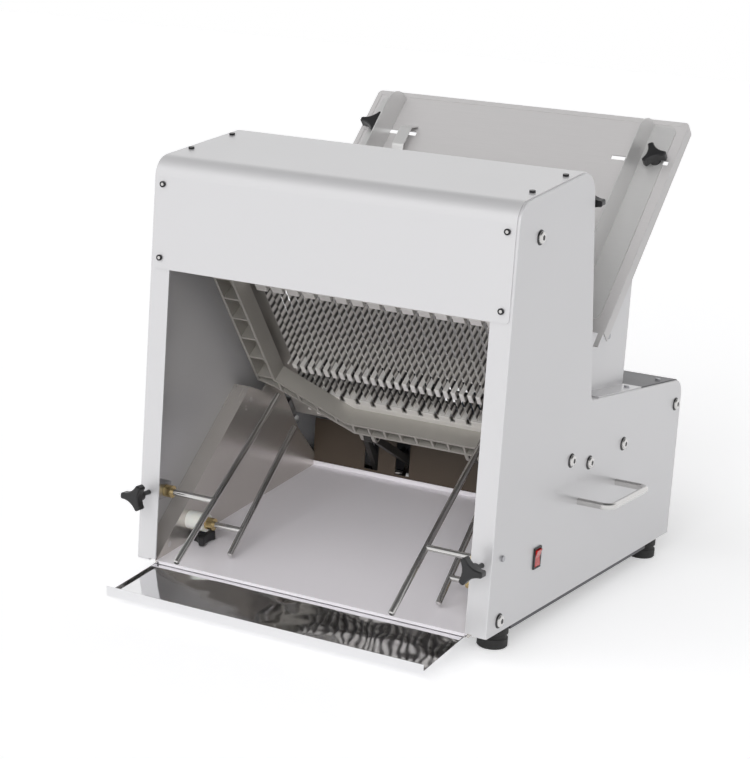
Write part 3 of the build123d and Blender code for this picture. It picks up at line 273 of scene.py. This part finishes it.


# the scalloped grinding is a bump, and the light it catches is painted highlight and painted shade: rows
# of bright colour down each blade, dark between them
def bladeSteel():
    beadsAndGlints = {"pitch": 0.013, "sideStep": 0.024, "drift": 1.4, "contrast": 1.6, "share": 0.62}
    steel = Finish("bladeSteel", (0.075, 0.07, 0.065), metallic=0.3, roughness=0.3)
    spot = steel.place(turn=(-blades["lean"], 0, 0))
    turns = steel.along("Z", spot) * (2 * pi / beadsAndGlints["pitch"])
    turns = turns + steel.along("X", spot) * (2 * pi / beadsAndGlints["sideStep"])
    wave = steel.sum("SINE", turns + steel.noise(60, 2) * beadsAndGlints["drift"])
    # painted highlight: share of the bright colour where the scallops catch the light
    bright = (wave * beadsAndGlints["contrast"] + beadsAndGlints["share"]).clamped(0, 1)
    steel.tint(bright, (0.97, 0.94, 0.90))
    steel.put("Roughness", 0.34 - bright * 0.12)
    steel.put("Normal", steel.bump(wave, 0.0006, 0.6))
    return steel


def brightSteel():
    steel = Finish("brightSteel", (0.66, 0.65, 0.64), metallic=1.0, roughness=0.13)
    marks = steel.noise(40, 4)
    steel.tint(marks * 0.25, (0.50, 0.49, 0.48))
    steel.put("Roughness", 0.08 + marks * 0.12)
    return steel


def bronze():
    metal = Finish("bronze", (0.62, 0.42, 0.20), metallic=1.0, roughness=0.32)
    cloud = metal.noise(60, 3)
    metal.tint(cloud * 0.4, (0.42, 0.27, 0.13))
    metal.put("Roughness", 0.25 + cloud * 0.2)
    return metal


def collarBrass():
    metal = Finish("collarBrass", (0.72, 0.56, 0.28), metallic=1.0, roughness=0.22)
    rings = metal.noise(1.0, 2, (2500, 60, 60))
    metal.tint(rings * 0.35, (0.52, 0.38, 0.16))
    metal.put("Roughness", 0.16 + rings * 0.16)
    return metal


def pulleyIron():
    metal = Finish("pulleyIron", (0.20, 0.21, 0.22), metallic=0.9, roughness=0.42)
    cloud = metal.noise(45, 3)
    metal.tint(cloud * 0.4, (0.13, 0.13, 0.14))
    metal.put("Roughness", 0.32 + cloud * 0.24)
    return metal


def softRubber(name):
    rubber = Finish(name, (0.018, 0.018, 0.018), roughness=0.68)
    cloud = rubber.noise(70, 4)
    rubber.tint(cloud * 0.5, (0.035, 0.035, 0.034))
    rubber.put("Roughness", 0.55 + cloud * 0.25)
    rubber.put("Normal", rubber.bump(rubber.noise(900, 2), 0.0001, 0.6))
    return rubber


def motorPaint():
    paint = Finish("motorPaint", (0.13, 0.17, 0.22), roughness=0.3, Coat_Weight=0.3)
    cloud = paint.noise(22, 3)
    paint.tint(cloud * 0.4, (0.09, 0.12, 0.16))
    paint.put("Roughness", 0.24 + cloud * 0.16)
    return paint


def blackPlastic():
    plastic = Finish("blackPlastic", (0.012, 0.012, 0.013), roughness=0.34)
    cloud = plastic.noise(50, 3)
    plastic.tint(cloud * 0.6, (0.024, 0.024, 0.025))
    plastic.put("Roughness", 0.28 + cloud * 0.18)
    plastic.put("Normal", plastic.bump(plastic.noise(1400, 2), 0.00006, 0.5))
    return plastic


def blackScrew():
    metal = Finish("blackScrew", (0.02, 0.02, 0.022), metallic=0.6, roughness=0.32)
    metal.put("Roughness", 0.24 + metal.noise(300, 3) * 0.2)
    return metal


def whiteNylon():
    plastic = Finish("whiteNylon", (0.80, 0.79, 0.75), roughness=0.42, Subsurface_Weight=0.08)
    cloud = plastic.noise(30, 3)
    plastic.tint(cloud * 0.25, (0.70, 0.68, 0.62))
    plastic.put("Roughness", 0.36 + cloud * 0.14)
    return plastic


def redPlastic():
    plastic = Finish("redPlastic", (0.62, 0.012, 0.010), roughness=0.22, Coat_Weight=0.3)
    cloud = plastic.noise(80, 2)
    plastic.tint(cloud * 0.3, (0.48, 0.006, 0.006))
    plastic.put("Roughness", 0.18 + cloud * 0.1)
    return plastic


finishes = {
    "casing_paint": casingPaint(),
    "dark_paint": darkPaint(),
    "polished_sheet": polishedSheet(),
    "slide_sheet": slideSheet(),
    "mirror_sheet": mirrorSheet(),
    "casting": castMetal(),
    "finger_steel": fingerSteel(),
    "blade_steel": bladeSteel(),
    "bright_steel": brightSteel(),
    "plain_steel": plainSteel(),
    "bronze": bronze(),
    "brass_collar": collarBrass(),
    "pulley_iron": pulleyIron(),
    "belt_rubber": softRubber("beltRubber"),
    "motor_paint": motorPaint(),
    "foot_rubber": softRubber("footRubber"),
    "black_plastic": blackPlastic(),
    "black_screw": blackScrew(),
    "white_nylon": whiteNylon(),
    "red_plastic": redPlastic(),
}
rodSteel = darkSteel()
special = {
    "cheek_plates": cheekSheet(),
    "infeed_tray": traySheet(),
    "mechanism_guard": guardPaintedShade(),
    "front_connecting_rods": rodSteel,
    "rear_connecting_rods": rodSteel,
}
for part in record["subparts"]:
    mesh = nodes[part["node"]].data
    mesh.materials.clear()
    mesh.materials.append(special.get(part["node"], finishes[part["material_slot"]]).material)
print("materials:", len(finishes), "by slot and", len(special), "by piece")


def onSlope(name):
    slope = slopes[name]
    spot = Vector((0, slope["y"] - middle, slope["z"])) * mm
    return Matrix.Translation(spot) @ Matrix.Rotation(slope["angle"], 4, "X") @ Matrix.Scale(mm, 4)


def piece(name, form, body, slot, finish=None):
    mesh = bpy.data.meshes.new(name)
    form.to_mesh(mesh)
    form.free()
    made = bpy.data.objects.new(name, mesh)
    bpy.context.scene.collection.objects.link(made)
    mesh.materials.append((finish or finishes[slot]).material)
    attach(made, body)
    return made


def addBox(form, x, y, z):
    corners = bmesh.ops.create_cube(form, size=1)["verts"]
    size = [high - low for low, high in (x, y, z)]
    centre = [(low + high) / 2 for low, high in (x, y, z)]
    bmesh.ops.scale(form, verts=corners, vec=size)
    bmesh.ops.translate(form, verts=corners, vec=centre)


# disc whose outer face is tip times as wide as the face it stands on
def addDisc(form, base, axis, radius, thick, sides, tip=1.0):
    turn = Vector(axis).to_track_quat("Z", "Y").to_matrix().to_4x4()
    centre = Vector(base) + Vector(axis) * thick / 2
    bmesh.ops.create_cone(
        form, cap_ends=True, segments=sides, radius1=radius, radius2=radius * tip, depth=thick,
        matrix=Matrix.Translation(centre) @ turn,
    )


def soften(form, width, segments=1):
    bmesh.ops.bevel(
        form, geom=form.edges[:], offset=width, segments=segments, affect="EDGES", profile=0.5, material=-1
    )


# comb whose prongs stand free between the blades, as the photograph shows it
def comb():
    size = {
        "half": 185.0,
        "slot": 5.4,
        "tips": -14.0,
        "slotsEnd": 8.0,
        "back": 45.5,
        "under": 8.0,
        "top": 10.0,
        "lip": 2.0,
        "drop": 12.0,
        "leastDrop": 1.0,
        "taper": 1.3,  # the outer prongs drop less, clear of the frame's slanted corners
        "round": 0.35,
    }
    half = size["half"]
    level = (size["under"], size["top"])
    form = bmesh.new()
    addBox(form, (-half, half), (size["slotsEnd"], size["back"]), level)
    slots = [blades["first"] + index * blades["pitch"] for index in range(blades["count"])]
    starts = [-half] + [x + size["slot"] / 2 for x in slots]
    ends = [x - size["slot"] / 2 for x in slots] + [half]
    for start, end in zip(starts, ends):
        addBox(form, (start, end), (size["tips"], size["slotsEnd"]), level)
        drop = min(size["drop"], (half - max(-start, end)) / size["taper"])
        if drop > size["leastDrop"]:
            lip = (size["tips"], size["tips"] + size["lip"])
            addBox(form, (start, end), lip, (size["under"] - drop, size["under"]))
    soften(form, size["round"])
    form.transform(onSlope("blades"))
    made = piece("combProngs", form, "casing", "polished_sheet", finishes["finger_steel"])
    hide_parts("comb_plate")


# finger bars of the front frame, each finger slit for its blade, with holes in the leg between them
def fingerBars():
    size = {
        "half": 188.0,
        "thick": 3.0,
        "front": -10.0,
        "reach": 12.0,
        "finger": 16.5,
        "slit": 1.5,
        "hole": 7.0,
        "round": 0.3,
    }
    lowBar = {"level": -52.0, "legEnd": -80.0}
    highBar = {"level": 148.0, "legEnd": 217.0}
    spine = (size["front"], size["front"] + size["thick"])
    fingers = (spine[1], size["reach"])
    form = bmesh.new()
    for bar in (lowBar, highBar):
        level = (bar["level"], bar["level"] + size["thick"])
        down = bar["legEnd"] < bar["level"]
        holesEnd = level[0] - size["hole"] if down else level[1] + size["hole"]
        leg = (bar["legEnd"], holesEnd) if down else (holesEnd, bar["legEnd"])
        bridges = (holesEnd, level[1]) if down else (level[0], holesEnd)
        addBox(form, (-size["half"], size["half"]), spine, leg)
        for index in range(0, blades["count"], 2):
            x = blades["first"] + index * blades["pitch"]
            low, high = x - size["finger"] / 2, x + size["finger"] / 2
            addBox(form, (low, high), spine, bridges)
            addBox(form, (low, x - size["slit"] / 2), fingers, level)
            addBox(form, (x + size["slit"] / 2, high), fingers, level)
    soften(form, size["round"])
    form.transform(onSlope("blades"))
    made = piece("fingerBars", form, "front_frame", "finger_steel")
    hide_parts("front_finger_bars")


# folded hem along the tray's sides and top
def trayHem():
    size = {
        "half": 240.0,
        "length": 397.0,
        "inset": 0.5,
        "wide": 7.5,
        "thick": 0.8,
        "start": 20.0,
        "corner": 6.0,
        "round": 0.25,
    }
    outer = size["half"] - size["inset"]
    inner = size["half"] - size["wide"]
    top = size["length"] - size["inset"]
    form = bmesh.new()
    for x in ((-outer, -inner), (inner, outer)):
        addBox(form, x, (size["start"], size["length"] - size["corner"]), (0, size["thick"]))
    addBox(form, (-inner, inner), (top - size["wide"], top), (0, size["thick"]))
    soften(form, size["round"], 2)
    form.transform(onSlope("tray"))
    piece("trayHem", form, "casing", "polished_sheet", special["infeed_tray"])


# dark washers under the chrome bolts of the sides, and the sockets in their heads
def boltWashers():
    bolt = {
        "places": [
            (60.7, 505.6), (33.0, 46.0), (215.0, 209.0),
            (276.0, 195.0), (390.0, 199.0), (579.0, 222.0),
        ],
        "x": 250.0,
        "head": 4.5,
        "washer": {"radius": 9.4, "thick": 0.7, "sides": 32, "tip": 0.97},
        "socket": {"radius": 3.4, "thick": 0.6, "sides": 6},
        "sunk": 0.5,
    }
    socketX = bolt["x"] + bolt["head"] - bolt["sunk"]
    form = bmesh.new()
    for side in (-1, 1):
        for y, z in bolt["places"]:
            addDisc(form, (side * bolt["x"], y, z), (side, 0, 0), **bolt["washer"])
            addDisc(form, (side * socketX, y, z), (side, 0, 0), **bolt["socket"])
    form.transform(onSlope("level"))
    piece("boltWashers", form, "casing", "black_screw")


# bright faces of the four screws on the hood's front
def screwFaces():
    screw = {
        "heights": (424.0, 516.0),
        "x": 236.0,
        "sheet": 1.5,
        "head": 2.5,
        "face": {"radius": 2.0, "thick": 0.25, "sides": 16, "tip": 0.7},
    }
    form = bmesh.new()
    for side in (-1, 1):
        for z in screw["heights"]:
            spot = (side * screw["x"], -screw["sheet"] - screw["head"], z)
            addDisc(form, spot, (0, -1, 0), **screw["face"])
    form.transform(onSlope("level"))
    piece("screwFaces", form, "casing", "bright_steel")


comb()
fingerBars()
trayHem()
boltWashers()
screwFaces()
print("pieces on the frame")


# floor, which shows white with a soft shadow
def floor():
    size = {"half": 12.0, "drop": 0.0002, "glow": 0.40}
    form = bmesh.new()
    bmesh.ops.create_grid(form, x_segments=1, y_segments=1, size=size["half"])
    bmesh.ops.translate(form, verts=form.verts, vec=(0, 0, cadLow.z - size["drop"]))
    mesh = bpy.data.meshes.new("floor")
    form.to_mesh(mesh)
    form.free()
    ground = bpy.data.objects.new("floor", mesh)
    bpy.context.scene.collection.objects.link(ground)
    plain = Finish("floor", (0.90, 0.90, 0.91), roughness=0.8, Specular_IOR_Level=0.1)
    seen, shiny, clear = plain.askedBy()
    plain.put("Emission Color", (1, 1, 1, 1))
    plain.put("Emission Strength", (seen + shiny + clear).clamped(0, 1) * size["glow"])
    mesh.materials.append(plain.material)


# the world's background, written like a material
class Sky(Finish):
    def __init__(self):
        self.world = bpy.data.worlds.new("studio")
        self.world.use_nodes = True
        self.tree = self.world.node_tree
        self.shader = self.tree.nodes["Background"]
        bpy.context.scene.world = self.world


# white all round for the camera, with a dimmer ceiling in reflections
def world():
    light = {"ambient": 0.28, "walls": 1.0, "ceiling": 0.14, "ceilingStarts": 0.5, "ceilingFull": 0.85}
    sky = Sky()
    seen, shiny, clear = sky.askedBy()
    height = sky.along("Z", sky.node("ShaderNodeTexCoord", output="Generated"))
    up = (height - light["ceilingStarts"]) / (light["ceilingFull"] - light["ceilingStarts"])
    mirrored = light["walls"] - up.clamped(0, 1) * (light["walls"] - light["ceiling"])
    straight = (seen + clear).clamped(0, 1)
    strength = straight + (1 - straight) * (shiny * mirrored + (1 - shiny) * light["ambient"])
    sky.put("Color", (1, 1, 1, 1))
    sky.put("Strength", strength)


# softness is how many degrees wide the light is, and reflections don't show it
def sun(name, towards, strength, softness):
    lamp = bpy.data.lights.new(name, "SUN")
    lamp.energy = strength
    lamp.angle = radians(softness)
    place = bpy.data.objects.new(name, lamp)
    place.rotation_mode = "QUATERNION"
    place.rotation_quaternion = Vector(towards).to_track_quat("Z", "Y")
    place.visible_glossy = False
    bpy.context.scene.collection.objects.link(place)


def camera():
    shot = {
        "azimuth": radians(27.85),
        "elevation": radians(11.95),
        "roll": radians(3.97),
        "aim": (-0.0275, -0.052267, 0.27056),
        "distance": 2.71667,
        "focus": 2087.88,  # in pixels of a frame that is 759 high
        "frame": 759.0,
    }
    right = Vector((cos(shot["azimuth"]), sin(shot["azimuth"]), 0))
    ahead = Vector((-right.y, right.x, 0))
    back = Vector((0, 0, sin(shot["elevation"]))) - ahead * cos(shot["elevation"])
    turned = Matrix.Rotation(-shot["roll"], 3, -back)
    up = turned @ back.cross(right)
    right = turned @ right
    lens = bpy.data.cameras.new("camera")
    lens.lens = shot["focus"] * lens.sensor_width / shot["frame"]
    place = bpy.data.objects.new("camera", lens)
    bpy.context.scene.collection.objects.link(place)
    place.matrix_world = Matrix.LocRotScale(
        Vector(shot["aim"]) + back * shot["distance"],
        Matrix((right, up, back)).transposed(),
        None,
    )
    bpy.context.scene.camera = place


floor()
world()
sun("key", (-0.45, -0.6, 0.8), 0.70, 50)
sun("front", (0.26, -1, 0.42), 1.85, 40)
sun("fill", (0.95, 0.1, 0.3), 0.12, 70)
camera()
bpy.context.scene.view_settings.view_transform = "Standard"
print("stage, lights and camera")
